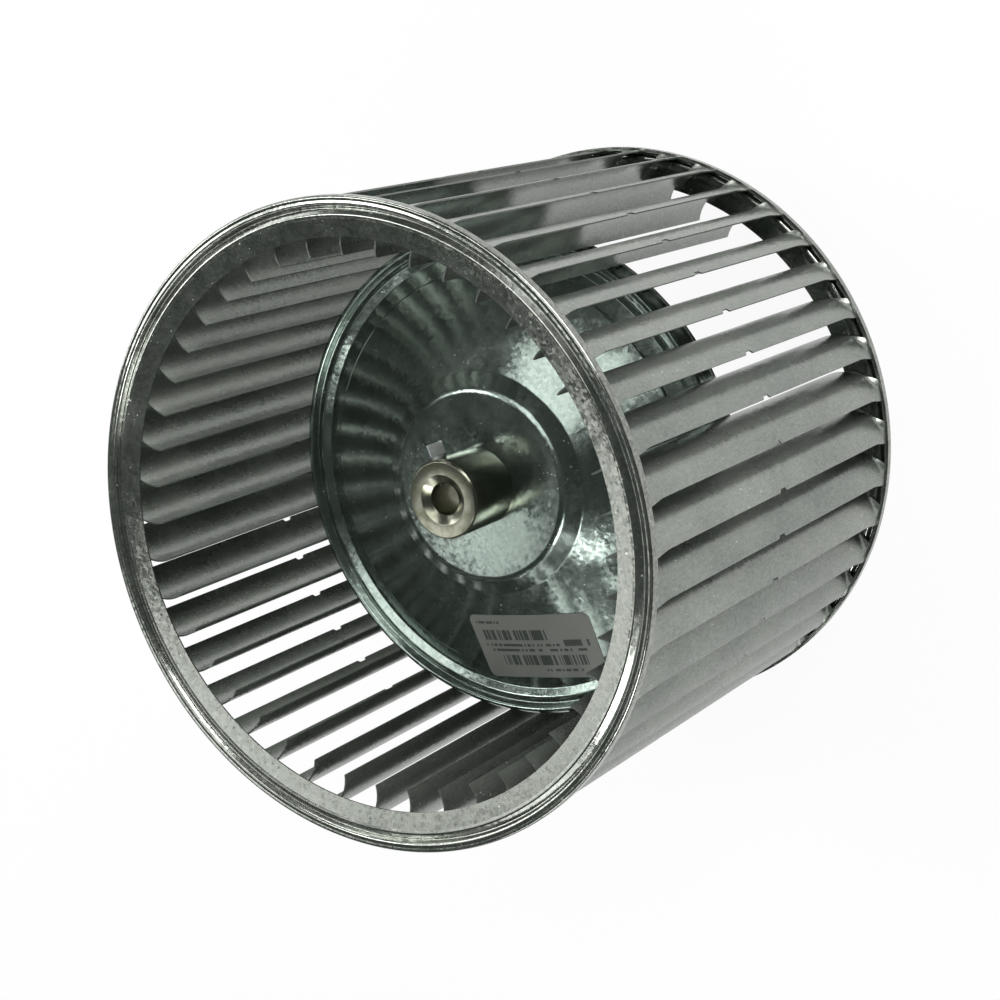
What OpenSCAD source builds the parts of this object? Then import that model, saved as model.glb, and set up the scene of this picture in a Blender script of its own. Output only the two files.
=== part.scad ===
// Single inlet blower wheel with forward curved blades, standing on its rear ring.
// The wheel's axis is Z. The hub and the eye that it is seen through face up.
// Lengths are millimetres, angles are degrees.

/* [Wheel] */
// Outside diameter over the end rings
wheel_d = 241.3; // [225:0.1:260]
// Width of the wheel over its end rings, along the axis
wheel_w = 200.5; // [150:0.5:260]

/* [Blade strip] */
// Number of blades round the wheel
blade_count = 43; // [36:1:48]
// Thickness of the sheet that the blades are pressed from
strip_t = 0.6; // [0.4:0.05:0.9]
// Diameter of the circle through the inner edges of the blades
eye_d = 197.8; // [180:0.1:205]
// Lean of a blade from the radius at its inner edge, backwards
root_lean = 15; // [5:1:30]
// Lean of a blade from the radius at its tip, forwards
tip_lean = 85; // [70:1:88]
// Place of the first blade's inner edge round the wheel
blade_phase = -189.5; // [-200:0.1:-180]
// Length of blade cut square between a ring's plane and the blade's inner corner
cut_depth = 6.6; // [5.5:0.1:12]
// Lean at which the square end cut meets the tab that runs on into the ring
split_lean = 30; // [20:1:45]
// Distance from a ring's plane at which the tab starts to flare
flare_start = 14.5; // [13:0.5:25]
// Width of the flared tab where it enters the ring
flare_w = 8.6; // [5:0.1:11]
// Shift of the tab's leading edge round the wheel as it flares
flare_shift = 1.25; // [0.5:0.05:2.5]
// Distance of the notches in the blade tips from the front ring's plane
notch_place = 101.5; // [60:0.5:120]
// Width of a tip notch at its mouth
notch_mouth_w = 5.5; // [4:0.1:9]
// Width of a tip notch at its bottom
notch_floor_w = 3.5; // [1:0.1:3.9]
// Depth of a tip notch
notch_h = 1.25; // [0.5:0.05:2.5]

/* [Rings] */
// Thickness of the ring sheet
ring_t = 0.8; // [0.6:0.05:1.0]
// Radial width of a ring, from its inner lip to its outer hem
ring_w = 14.65; // [12:0.05:20]
// Radial width of the rolled hem that grips the blade strip
hem_w = 3.6; // [3.4:0.1:5]
// Height of the rolled hem
hem_h = 3.6; // [3.2:0.1:5]
// Depth of the shallow groove rolled into the hem's crest
crest_groove = 0.3; // [0.1:0.05:0.6]
// Depth of the groove between hem and bead, below the hem's crest
ring_groove_h = 2.6; // [2:0.1:4]
// Distance of the bead's crest below the hem's crest
bead_drop = 1; // [0.5:0.1:2]
// Distance of the bead's crest from the outside of the ring
bead_inset = 6.95; // [6.8:0.05:8]
// Radial width of the bead's rounded inner side
bead_w = 1.2; // [0.8:0.1:2]
// Height of the bead's crest above the flat band
bead_h = 0.35; // [0.2:0.05:0.8]
// Distance of the ring's inner lip below the hem's crest
lip_drop = 2.35; // [1.5:0.05:4]
// Radial distance of the groove's bottom inside the hem
ring_groove_w = 1.1; // [0.9:0.1:1.5]
// Radius of the bends in the ring sheet, at the middle of its thickness
ring_bend_r = 0.8; // [0.6:0.05:1]

/* [Centre disc] */
// Thickness of the disc sheet
disc_t = 1.2; // [0.8:0.1:1.3]
// Distance of the raised plate's face from the front ring's plane
plate_place = 79.4; // [60:0.1:95]
// Diameter of the raised plate
plate_d = 75.6; // [60:0.1:90]
// Height of the step down from the plate to the cone's inner edge
plate_step_h = 4.45; // [2:0.05:8]
// Radial width of that step
plate_step_w = 6.5; // [4:0.1:12]
// Fall of the cone from its inner to its outer edge
cone_h = 14.45; // [8:0.05:18]
// Radial width of the channel between the cone and the rim
channel_w = 17.15; // [14:0.05:22]
// Height of the small step from the cone down into the channel
channel_step_h = 0.5; // [0.2:0.05:1]
// Depth of the channel's inner groove below its step
inner_groove_h = 2.8; // [2.4:0.1:4]
// Distance of the inner groove's bottom from the rim
inner_groove_place = 9.3; // [8.5:0.1:10]
// Height of the ridge in the channel above the inner groove
ridge_h = 1.9; // [0.8:0.1:2.5]
// Distance of the ridge's crest from the rim
ridge_place = 5.8; // [5.2:0.1:6.2]
// Depth of the channel's outer groove below the ridge
outer_groove_h = 0.9; // [0.5:0.1:1.5]
// Distance of the outer groove's bottom from the rim
outer_groove_place = 3.2; // [2.9:0.1:3.6]
// Height of the rim's lip above the cone's outer edge
lip_h = 1.4; // [0.8:0.1:3]
// Height of the rim's cylindrical flange, from its open end to the lip
flange_h = 13.1; // [9:0.1:18]
// Height of the bead round the flange, proud of it
flange_bead = 0.7; // [0.3:0.1:1]
// Distance of the flange bead from the flange's open end
flange_bead_place = 3.4; // [3:0.1:4]
// Width of the flange bead
flange_bead_w = 3.2; // [2.4:0.1:4]
// Height over which the flange flares out to the rim
rim_flare_h = 4; // [3.5:0.1:5]
// Height of the rim's rolled lip
rim_roll_h = 2.1; // [1.8:0.1:2.5]
// Radial width of the rim's rolled lip
rim_roll_w = 1.3; // [1.2:0.1:1.5]
// Radius of the bends in the disc sheet, at the middle of its thickness
disc_bend_r = 1.2; // [1:0.1:3]

/* [Hub] */
// Outside diameter of the hub
hub_d = 30.8; // [28:0.1:36]
// Height of the hub above the raised plate
hub_h = 25.1; // [20:0.1:34]
// Diameter of the shaft bore
bore_d = 12.7; // [9.5:0.1:14]
// Diameter of the countersink at the bore's mouth
mouth_d = 19.6; // [17:0.1:22]
// Depth of that countersink
mouth_h = 1.8; // [0.5:0.1:3]
// Diameter of the spigot that passes through the disc
spigot_d = 24; // [21:0.1:26]
// Diameter of the collar that the spigot is riveted over into
collar_d = 27.5; // [26.5:0.1:32]
// Height of that riveted collar behind the disc
collar_h = 2.4; // [1.5:0.1:4]
// Chamfer round the hub's front face
hub_chamfer = 0.7; // [0.3:0.1:1.5]

/* [Set screw] */
// Thread diameter of the set screw
screw_d = 6.35; // [5:0.01:8]
// Width of the square head over its flats
head_w = 6.35; // [5:0.05:10]
// Height of the square head
head_h = 5; // [3:0.1:7]
// Turn of the square head about the screw's axis
head_turn = 42; // [0:1:90]
// Gap between the head's underside and the hub at rest
head_gap = 1.05; // [0.9:0.05:2]
// Distance of the screw's axis from the hub's front face
screw_inset = 7.2; // [5.1:0.1:9]
// Direction of the screw round the hub
screw_angle = 106; // [0:1:360]
// Distance of the screw's tip from the bore's wall at rest
tip_setback = 0.8; // [0.5:0.1:1.5]

/* [Label] */
// Width of the paper label
label_w = 55.5; // [40:0.5:60]
// Height of the label, seen along the axis
label_l = 29; // [20:0.5:31]
// Thickness of the label
label_t = 0.15; // [0.1:0.01:0.3]
// Radius of the label's corners
label_corner_r = 3; // [1:0.1:6]
// Distance that the label's far corner would reach past the cone's edge if it were square
label_overhang = 9; // [5:0.1:9.5]
// Distance of the label's middle to the right of the axis
label_shift = 7.9; // [-10:0.1:10]
// Turn of the label
label_turn = 2; // [-5:1:5]

/* [Hidden] */
$fn = 96;

// Gap between pieces that are clenched, riveted or pressed together
clench_gap = 0.1;
// Gap between the screw and its threaded hole, and between spigot and disc
screw_gap = 0.05;
// Film of glue under the label
glue_gap = 0.05;
// Distance that a cutter runs past the face that it cuts
past = 1;
// Length of the strip's margin that the hem's outer wall covers at its mouth
hem_grip = 0.2;
// Room left between the margin's edge and the inside of the hem's crest
hem_room = 1.1;

ring_r = wheel_d / 2;
eye_r = eye_d / 2;

// Middle of the strip's sheet where the ring's hem grips it, and at the blade tips
strip_r = ring_r - ring_t - clench_gap - strip_t / 2;
// The margin that joins the blades runs from just inside the hem's mouth to under its crest
margin_start = hem_h - hem_grip;
margin_end = ring_t + hem_room;

// Radius of the blade's arc, which runs from the eye to the strip's radius
arc_x = sin(tip_lean) + sin(root_lean);
arc_y = cos(root_lean) - cos(tip_lean);
arc_c = arc_x * arc_x + arc_y * arc_y;
arc_b = eye_r * arc_x;
arc_r = (sqrt(arc_b * arc_b + arc_c * (strip_r * strip_r - eye_r * eye_r)) - arc_b) / arc_c;
blade_pitch = 360 / blade_count;

function degrees_at(arc, r) = arc / r * 180 / PI;
function clamped(s) = max(0, min(1, s));
function smooth(s) = let (c = clamped(s)) c * c * (3 - 2 * c);
function mix(a, b, s) = a + (b - a) * s;
function unit(v) = v / norm(v);

// Polar place, as radius and angle, of the point of a blade's arc with this lean
function arc_place(lean) =
    let (x = eye_r + arc_r * (sin(lean) + sin(root_lean)),
         y = arc_r * (cos(root_lean) - cos(lean)))
    [norm([x, y]), -atan2(y, x)];

tip_angle = arc_place(tip_lean)[1];
flare_from = tip_angle - degrees_at(flare_shift, strip_r);
flare_to = flare_from + degrees_at(flare_w, strip_r);

// Share from 0, at the tip, to 1, at the split, of a column of the tab
function tab_share(lean) = clamped((tip_lean - lean) / (tip_lean - split_lean));

// Polar place of the same column where the tab lies against the strip's cylinder
function tab_place(lean) = [strip_r, mix(flare_from, flare_to, tab_share(lean))];

// How far a column has turned from the blade's arc into the tab, at a depth below its ring
function flare_share(lean, depth) =
    smooth((flare_start - depth) / (flare_start - margin_start))
    * mix(1 - tab_share(lean), 1, clamped((cut_depth - depth) / (cut_depth - margin_start)));

// Middle of the sheet at a lean and a height
function sheet_point(lean, z) =
    let (depth = min(z, wheel_w - z),
         s = lean < split_lean ? 0 : flare_share(lean, depth),
         p = mix(arc_place(lean), tab_place(lean), s))
    [p[0] * cos(p[1]), p[0] * sin(p[1]), z];

// Outward normal of the sheet, from its slopes along the arc and along the blade
function sheet_normal(lean, z, inwards) =
    let (lean_step = 0.5, z_step = 0.2 * inwards,
         low = max(lean - lean_step, -root_lean), high = min(lean + lean_step, tip_lean),
         over_arc = sheet_point(high, z) - sheet_point(low, z),
         over_length = (sheet_point(lean, z + z_step) - sheet_point(lean, z)) / inwards)
    unit(cross(over_arc, over_length));

function side_point(lean, z, inwards, side) =
    sheet_point(lean, z) - sheet_normal(lean, z, inwards) * side * strip_t / 2;

function margin_point(angle, z, side) =
    let (r = strip_r + side * strip_t / 2) [r * cos(angle), r * sin(angle), z];

// Columns across a blade from its tip to its inner edge: the first tab_columns + 1 bound the tab
tab_columns = 3;
root_columns = 2;
tab_leans = [for (i = [0 : tab_columns]) mix(tip_lean, split_lean, i / tab_columns)];
root_leans = [for (i = [1 : root_columns]) mix(split_lean, -root_lean, i / root_columns)];
blade_leans = concat(tab_leans, root_leans);
split = tab_columns;
root = tab_columns + root_columns;
web = tab_columns + 1;
web_angle = (flare_to + flare_from + blade_pitch) / 2;
tab_bend = (cut_depth + margin_start) / 2;

// Tip notch, cut into the flat between the blade's first two columns
tip_chord = norm(sheet_point(tab_leans[0], wheel_w / 2) - sheet_point(tab_leans[1], wheel_w / 2));
notch_z = wheel_w - notch_place;
notch_corners = [
    [0, notch_z + notch_mouth_w / 2],
    [notch_h, notch_z + notch_floor_w / 2],
    [notch_h, notch_z - notch_floor_w / 2],
    [0, notch_z - notch_mouth_w / 2]
];

function margin_row(z, side) =
    [for (lean = tab_leans) margin_point(tab_place(lean)[1], z, side), margin_point(web_angle, z, side)];
function blade_row(leans, z, inwards, side) = [for (lean = leans) side_point(lean, z, inwards, side)];
function notch_row(side) =
    [for (c = notch_corners)
        let (at_tip = side_point(tab_leans[0], c[1], 1, side),
             at_next = side_point(tab_leans[1], c[1], 1, side))
        mix(at_tip, at_next, c[0] / tip_chord)];

// One pitch of the strip, row by row from the front margin to the rear margin
function pitch_side(side) = concat(
    margin_row(wheel_w - margin_end, side),
    margin_row(wheel_w - margin_start, side),
    blade_row(tab_leans, wheel_w - tab_bend, -1, side),
    blade_row(blade_leans, wheel_w - cut_depth, -1, side),
    blade_row(blade_leans, wheel_w - flare_start, -1, side),
    notch_row(side),
    blade_row(blade_leans, flare_start, 1, side),
    blade_row(blade_leans, cut_depth, 1, side),
    blade_row(tab_leans, tab_bend, 1, side),
    margin_row(margin_start, side),
    margin_row(margin_end, side)
);
margin_n = tab_columns + 2;
tab_n = tab_columns + 1;
blade_n = tab_columns + root_columns + 1;
notch_n = len(notch_corners);
row_sizes = [margin_n, margin_n, tab_n, blade_n, blade_n, notch_n, blade_n, blade_n, tab_n, margin_n, margin_n];
function row_first(row) = row == 0 ? 0 : row_first(row - 1) + row_sizes[row - 1];
row_starts = [for (row = [0 : len(row_sizes)]) row_first(row)];
side_points = row_starts[len(row_sizes)];
pitch_points = side_points * 2;

// A point of the strip is named [row, column, blades further on]
function tip_at(row) = [row, 0, 0];
function next_tip_at(row) = [row, 0, 1];
function quad(a, b, col) = [[a, col, 0], [b, col, 0], [b, col + 1, 0], [a, col + 1, 0]];
function web_quads(a, b) = [
    [[a, split, 0], [b, split, 0], [b, web, 0], [a, web, 0]],
    [[a, web, 0], [b, web, 0], next_tip_at(b), next_tip_at(a)]
];
function quads(a, b, from, to) = [for (col = [from : to - 1]) quad(a, b, col)];
above = 4;
notch = 5;
below = 6;
notch_faces = [
    [tip_at(above), [notch, 0, 0], [above, 1, 0]],
    [[notch, 0, 0], [notch, 1, 0], [above, 1, 0]],
    [[notch, 1, 0], [notch, 2, 0], [below, 1, 0], [above, 1, 0]],
    [[notch, 2, 0], [notch, 3, 0], [below, 1, 0]],
    [[notch, 3, 0], tip_at(below), [below, 1, 0]]
];
skin_faces = concat(
    quads(0, 1, 0, split), web_quads(0, 1),
    quads(1, 2, 0, split), quads(2, 3, 0, split), quads(3, above, 0, root),
    notch_faces, quads(above, below, 1, root),
    quads(below, 7, 0, root), quads(7, 8, 0, split), quads(8, 9, 0, split),
    quads(9, 10, 0, split), web_quads(9, 10)
);

// Free edges of one pitch, each in the direction in which the outer skin runs along it
tip_chain = concat(
    [for (row = [1 : above]) tip_at(row)],
    [for (i = [0 : notch_n - 1]) [notch, i, 0]],
    [for (row = [below : 9]) tip_at(row)]
);
slot_chain = concat(
    [next_tip_at(9), [9, web, 0]],
    [for (row = [9 : -1 : 8]) [row, split, 0]],
    [for (col = [split : root]) [7, col, 0]],
    [[below, root, 0], [above, root, 0]],
    [for (col = [root : -1 : split]) [3, col, 0]],
    [[2, split, 0], [1, split, 0], [1, web, 0], next_tip_at(1)]
);
front_chain = concat([next_tip_at(0), [0, web, 0]], [for (col = [split : -1 : 0]) [0, col, 0]]);
rear_chain = concat([for (col = [0 : split]) [10, col, 0]], [[10, web, 0], next_tip_at(10)]);
function links(chain) = [for (i = [0 : len(chain) - 2]) [chain[i], chain[i + 1]]];
function reversed(list) = [for (i = [len(list) - 1 : -1 : 0]) list[i]];
// The slot's chain is written against the skin's direction along it
free_edges = concat(links(tip_chain), links(slot_chain), links(front_chain), links(rear_chain));

function point_number(blade, name, side) =
    ((blade + name[2]) % blade_count) * pitch_points + side * side_points + row_starts[name[0]] + name[1];
function numbers(blade, names, side) = [for (name = names) point_number(blade, name, side)];
function wall(blade, edge) = [
    point_number(blade, edge[0], 0), point_number(blade, edge[0], 1),
    point_number(blade, edge[1], 1), point_number(blade, edge[1], 0)
];
function turned(p, angle) =
    [p[0] * cos(angle) - p[1] * sin(angle), p[0] * sin(angle) + p[1] * cos(angle), p[2]];

// Path of [radius, height] points whose corners are rounded to radius r, less where a side is short
bend_steps = 4;
function bend(a, b, c, r) =
    let (u = unit(a - b), v = unit(c - b), half = acos(max(-1, min(1, -u * v))) / 2,
         reach = min(r * tan(half), 0.48 * min(norm(a - b), norm(c - b))),
         bend_r = reach / tan(half),
         middle = b + unit(u + v) * bend_r / cos(half))
    [for (i = [0 : bend_steps])
        middle + bend_r * unit(mix(b + u * reach - middle, b + v * reach - middle, i / bend_steps))];
function bent(path, r) = [
    path[0],
    for (i = [1 : len(path) - 2]) each bend(path[i - 1], path[i], path[i + 1], r),
    path[len(path) - 1]
];

// Outline of a sheet of thickness t whose middle follows a path
function left_of(v) = [-v[1], v[0]];
function edge_offset(path, i) =
    let (last = len(path) - 1,
         before = left_of(unit(path[max(i, 1)] - path[max(i, 1) - 1])),
         after = left_of(unit(path[min(i, last - 1) + 1] - path[min(i, last - 1)])),
         m = before + after)
    2 * m / (m * m);
function sheet_outline(path, t) = concat(
    [for (i = [0 : len(path) - 1]) path[i] + edge_offset(path, i) * t / 2],
    [for (i = [len(path) - 1 : -1 : 0]) path[i] - edge_offset(path, i) * t / 2]
);

// Middle of the ring sheet, as radius and distance below the corners of the hem's crest
hem_out_r = ring_r - ring_t / 2;
hem_in_r = ring_r - hem_w + ring_t / 2;
bead_r = ring_r - bead_inset;
function ring_sheet(wall_end) = bent([
    [ring_r - ring_w, lip_drop + ring_t / 2],
    [bead_r - bead_w, bead_drop + bead_h + ring_t / 2],
    [bead_r, bead_drop + ring_t / 2],
    [hem_in_r - ring_groove_w, ring_groove_h + ring_t / 2],
    [hem_in_r, ring_t / 2],
    [(hem_in_r + hem_out_r) / 2, crest_groove + ring_t / 2],
    [hem_out_r, ring_t / 2],
    [hem_out_r, wall_end]
], ring_bend_r);
// Rounding lowers the crest a little, so the ring is lifted and its wall lengthened by that much
ring_crest = min([for (p = sheet_outline(ring_sheet(hem_h), ring_t)) p[1]]);
ring_outline = sheet_outline(ring_sheet(hem_h + ring_crest), ring_t);

// Middle of the disc sheet, as radius and height, from the flange's open end to the hub
rim_r = eye_r - clench_gap - strip_t / 2 * sin(root_lean) - disc_t / 2;
plate_z = wheel_w - plate_place;
cone_top_z = plate_z - plate_step_h;
cone_foot_z = cone_top_z - cone_h;
lip_z = cone_foot_z + lip_h;
flange_r = rim_r - flange_bead;
flange_z = lip_z - flange_h;
flange_bead_z = flange_z + flange_bead_place;
cone_in_r = plate_d / 2 + plate_step_w;
cone_out_r = rim_r + disc_t / 2 - channel_w;
channel_z = cone_foot_z - channel_step_h;
inner_groove_z = channel_z - inner_groove_h;
ridge_z = inner_groove_z + ridge_h;
hub_hole_r = spigot_d / 2 + screw_gap;
disc_face = bent([
    [flange_r, flange_z],
    [flange_r, flange_bead_z - flange_bead_w / 2],
    [rim_r, flange_bead_z],
    [flange_r, flange_bead_z + flange_bead_w / 2],
    [flange_r, lip_z - rim_flare_h],
    [rim_r, lip_z - rim_roll_h],
    [rim_r - rim_roll_w, lip_z],
    [rim_r - outer_groove_place, ridge_z - outer_groove_h],
    [rim_r - ridge_place, ridge_z],
    [rim_r - inner_groove_place, inner_groove_z],
    [cone_out_r + channel_step_h, channel_z],
    [cone_out_r, cone_foot_z],
    [cone_in_r, cone_top_z],
    [plate_d / 2, plate_z],
    [hub_hole_r, plate_z]
], disc_bend_r);
disc_path = [for (p = disc_face) p - [0, disc_t / 2]];

hub_top_z = plate_z + hub_h;
collar_z = plate_z - disc_t - collar_h;
screw_z = hub_top_z - screw_inset;
screw_hole_r = screw_d / 2 + screw_gap;
tip_r = bore_d / 2 + tip_setback;
tip_chamfer = 1;
screw_l = hub_d / 2 + head_gap - tip_r;

module blade_strip() {
    pitch = concat(pitch_side(1), pitch_side(-1));
    points = [for (k = [0 : blade_count - 1]) for (p = pitch) turned(p, blade_phase + k * blade_pitch)];
    faces = [
        for (k = [0 : blade_count - 1]) each concat(
            [for (face = skin_faces) numbers(k, face, 0)],
            [for (face = skin_faces) reversed(numbers(k, face, 1))],
            [for (edge = free_edges) wall(k, edge)]
        )
    ];
    color("lightslategray") polyhedron(points = points, faces = faces, convexity = 12);
}

module end_ring() {
    rotate_extrude() polygon([for (p = ring_outline) [p[0], ring_crest - p[1]]]);
}

module front_ring() {
    color("silver") translate([0, 0, wheel_w]) end_ring();
}

module rear_ring() {
    color("silver") mirror([0, 0, 1]) end_ring();
}

module centre_disc() {
    color("gray") rotate_extrude() polygon(sheet_outline(disc_path, disc_t));
}

module hub_turning() {
    rotate_extrude() polygon([
        [0, collar_z],
        [collar_d / 2 - hub_chamfer, collar_z],
        [collar_d / 2, collar_z + hub_chamfer],
        [collar_d / 2, plate_z - disc_t],
        [spigot_d / 2, plate_z - disc_t],
        [spigot_d / 2, plate_z],
        [hub_d / 2, plate_z],
        [hub_d / 2, hub_top_z - hub_chamfer],
        [hub_d / 2 - hub_chamfer, hub_top_z],
        [0, hub_top_z]
    ]);
}

module along_screw(r) {
    translate([0, 0, screw_z]) rotate([0, 0, screw_angle]) translate([r, 0, 0]) rotate([0, 90, 0]) children();
}

module hub() {
    color("khaki") difference() {
        hub_turning();
        translate([0, 0, collar_z - past]) cylinder(d = bore_d, h = hub_top_z - collar_z + 2 * past);
        translate([0, 0, hub_top_z - mouth_h]) cylinder(d1 = bore_d, d2 = mouth_d, h = mouth_h);
        translate([0, 0, hub_top_z]) cylinder(d = mouth_d, h = past);
        along_screw(0) cylinder(r = screw_hole_r, h = hub_d);
    }
}

module set_screw() {
    head_bevel = head_w * (sqrt(2) - 1) / 2;
    color("dimgray") along_screw(tip_r) union() {
        cylinder(d1 = screw_d - 2 * tip_chamfer, d2 = screw_d, h = tip_chamfer);
        translate([0, 0, tip_chamfer]) cylinder(d = screw_d, h = screw_l - tip_chamfer);
        translate([0, 0, screw_l]) rotate([0, 0, head_turn]) intersection() {
            translate([-head_w / 2, -head_w / 2, 0]) cube([head_w, head_w, head_h]);
            cylinder(r1 = head_w / 2 + head_bevel + head_h, r2 = head_w / 2, h = head_h);
        }
    }
}

module label_blank() {
    translate([-label_w / 2 + label_corner_r, -label_l / 2])
        square([label_w - 2 * label_corner_r, label_l]);
    translate([-label_w / 2, -label_l / 2 + label_corner_r])
        square([label_w, label_l - 2 * label_corner_r]);
    for (x = [-1, 1], y = [-1, 1])
        translate([x * (label_w / 2 - label_corner_r), y * (label_l / 2 - label_corner_r)])
            circle(r = label_corner_r);
}

// The cone's slope, carried on past its outer edge to where the label's corners reach
cone_slope = cone_h / (cone_out_r - cone_in_r);
sheet_rise = disc_t / 2 * (sqrt(1 + cone_slope * cone_slope) - 1);
function cone_face_z(r) = cone_top_z - (r - cone_in_r) * cone_slope + sheet_rise + glue_gap;
label_reach = cone_out_r + label_overhang;
label_side = label_w / 2 + label_shift;
label_place = sqrt(label_reach * label_reach - label_side * label_side) - label_l / 2;

module label() {
    low = cone_face_z(label_reach) - past;
    color("gainsboro") intersection() {
        rotate_extrude() polygon([
            [cone_in_r, cone_face_z(cone_in_r)],
            [label_reach, cone_face_z(label_reach)],
            [label_reach, cone_face_z(label_reach) + label_t],
            [cone_in_r, cone_face_z(cone_in_r) + label_t]
        ]);
        translate([label_shift, -label_place, low]) rotate([0, 0, label_turn])
            linear_extrude(cone_top_z - low + past) label_blank();
    }
}

blade_strip();
front_ring();
rear_ring();
centre_disc();
hub();
set_screw();
label();
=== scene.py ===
"""Looks of a single inlet blower wheel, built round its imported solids.

The wheel stands on its rear ring with its axis upright. Sizes are in millimetres and angles in degrees,
and meshes are made in metres in the frame of the solids.
"""
import logging
import math
from collections.abc import Sequence
from dataclasses import dataclass, field
from enum import Enum

import bmesh
import bpy
from mathutils import Matrix, Vector


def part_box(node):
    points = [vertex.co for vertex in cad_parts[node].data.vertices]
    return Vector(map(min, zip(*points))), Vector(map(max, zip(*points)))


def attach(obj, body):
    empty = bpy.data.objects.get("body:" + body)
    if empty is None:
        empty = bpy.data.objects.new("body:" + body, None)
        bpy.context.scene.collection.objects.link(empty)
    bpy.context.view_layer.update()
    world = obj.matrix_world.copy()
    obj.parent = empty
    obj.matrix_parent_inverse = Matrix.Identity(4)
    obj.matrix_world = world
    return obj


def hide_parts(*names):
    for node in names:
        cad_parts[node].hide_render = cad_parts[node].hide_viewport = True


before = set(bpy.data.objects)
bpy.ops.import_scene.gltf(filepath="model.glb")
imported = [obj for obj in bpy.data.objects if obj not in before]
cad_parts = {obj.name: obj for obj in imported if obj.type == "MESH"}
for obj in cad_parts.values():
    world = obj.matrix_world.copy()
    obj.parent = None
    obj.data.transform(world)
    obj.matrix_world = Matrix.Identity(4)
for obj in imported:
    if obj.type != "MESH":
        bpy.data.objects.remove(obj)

LOG = logging.getLogger("blower_wheel")
MM = 0.001
NOISE_LOW = 0.3  # a noise has few values below this
NOISE_HIGH = 0.7  # and few above this
NO_TILT = (0.5, 0.5, 0.5)  # the middle of a noise's colour, which tilts nothing
WAVE_LENGTH = 0.32  # about one wave of the wave texture at a scale of 1
STRAIGHT = 1e-4  # a corner that turns by less, in radians, stays sharp
SIDE_SHARE = 0.48  # the most of a side that one bend takes
WATTS_PER_RADIANCE = 4.0  # power of a square metre of lamp at a radiance of 1


class Body(Enum):
    """The bodies that a piece can ride on."""

    WHEEL = "wheel"
    SCREW = "screw"


class Slot(Enum):
    """The material slots of the record."""

    BLADES = "blade_steel"
    RINGS = "ring_steel"
    DISC = "disc_steel"
    HUB = "yellow_zinc"
    SCREW = "screw_steel"
    LABEL = "label_paper"


def linear(code: str) -> tuple[float, float, float, float]:
    """Turns a colour into linear components.

    Args:
        code: sRGB colour as #rrggbb.

    Returns:
        Red, green, blue and an alpha of 1.
    """
    shares = [int(code[i:i + 2], 16) / 255 for i in (1, 3, 5)]
    red, green, blue = (s / 12.92 if s <= 0.04045 else ((s + 0.055) / 1.055) ** 2.4 for s in shares)
    return red, green, blue, 1.0


def clamped(share: float) -> float:
    """Returns the share held between 0 and 1."""
    return max(0.0, min(1.0, share))


def smooth(share: float) -> float:
    """Returns the share eased in and out between 0 and 1."""
    held = clamped(share)
    return held * held * (3 - 2 * held)


def mix(start: float, end: float, share: float) -> float:
    """Returns the value at a share of the way from start to end."""
    return start + (end - start) * share


def spread(start: float, end: float, count: int) -> list[float]:
    """Returns count + 1 evenly spaced values from start to end."""
    return [mix(start, end, i / count) for i in range(count + 1)]


def add_node(
    tree: bpy.types.NodeTree,
    kind: str,
    inputs: dict[str | int, object] | None = None,
    **settings: object,
) -> bpy.types.Node:
    """Adds a node to a tree, with its settings and its inputs.

    Args:
        tree: Node tree of a material, a world or a modifier.
        kind: Blender's name of the node type.
        inputs: Value, or output socket to link, for each input name or number.
        settings: Properties of the node itself.

    Returns:
        The new node.
    """
    node = tree.nodes.new(kind)
    for name, value in settings.items():
        setattr(node, name, value)
    for name, value in (inputs or {}).items():
        if isinstance(value, bpy.types.NodeSocket):
            tree.links.new(value, node.inputs[name])
        else:
            node.inputs[name].default_value = value
    return node


def mixed_colour(
    tree: bpy.types.NodeTree, share: object, start: object, end: object, blend: str = "MIX"
) -> bpy.types.NodeSocket:
    """Mixes two colours in a tree.

    Args:
        tree: Node tree of a material.
        share: Value or socket of the share of the second colour.
        start: First colour or its socket.
        end: Second colour or its socket.
        blend: How the two colours are mixed.

    Returns:
        Socket of the mixed colour.
    """
    inputs = {"Factor": share, 6: start, 7: end}
    node = add_node(tree, "ShaderNodeMix", inputs, data_type="RGBA", blend_type=blend)
    return node.outputs[2]


def new_material(name: str) -> tuple[bpy.types.Material, bpy.types.NodeTree]:
    """Makes an empty node material.

    Args:
        name: Name of the finish.

    Returns:
        The material and its empty tree.
    """
    material = bpy.data.materials.new(name)
    material.use_nodes = True
    material.node_tree.nodes.clear()
    return material, material.node_tree


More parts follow.
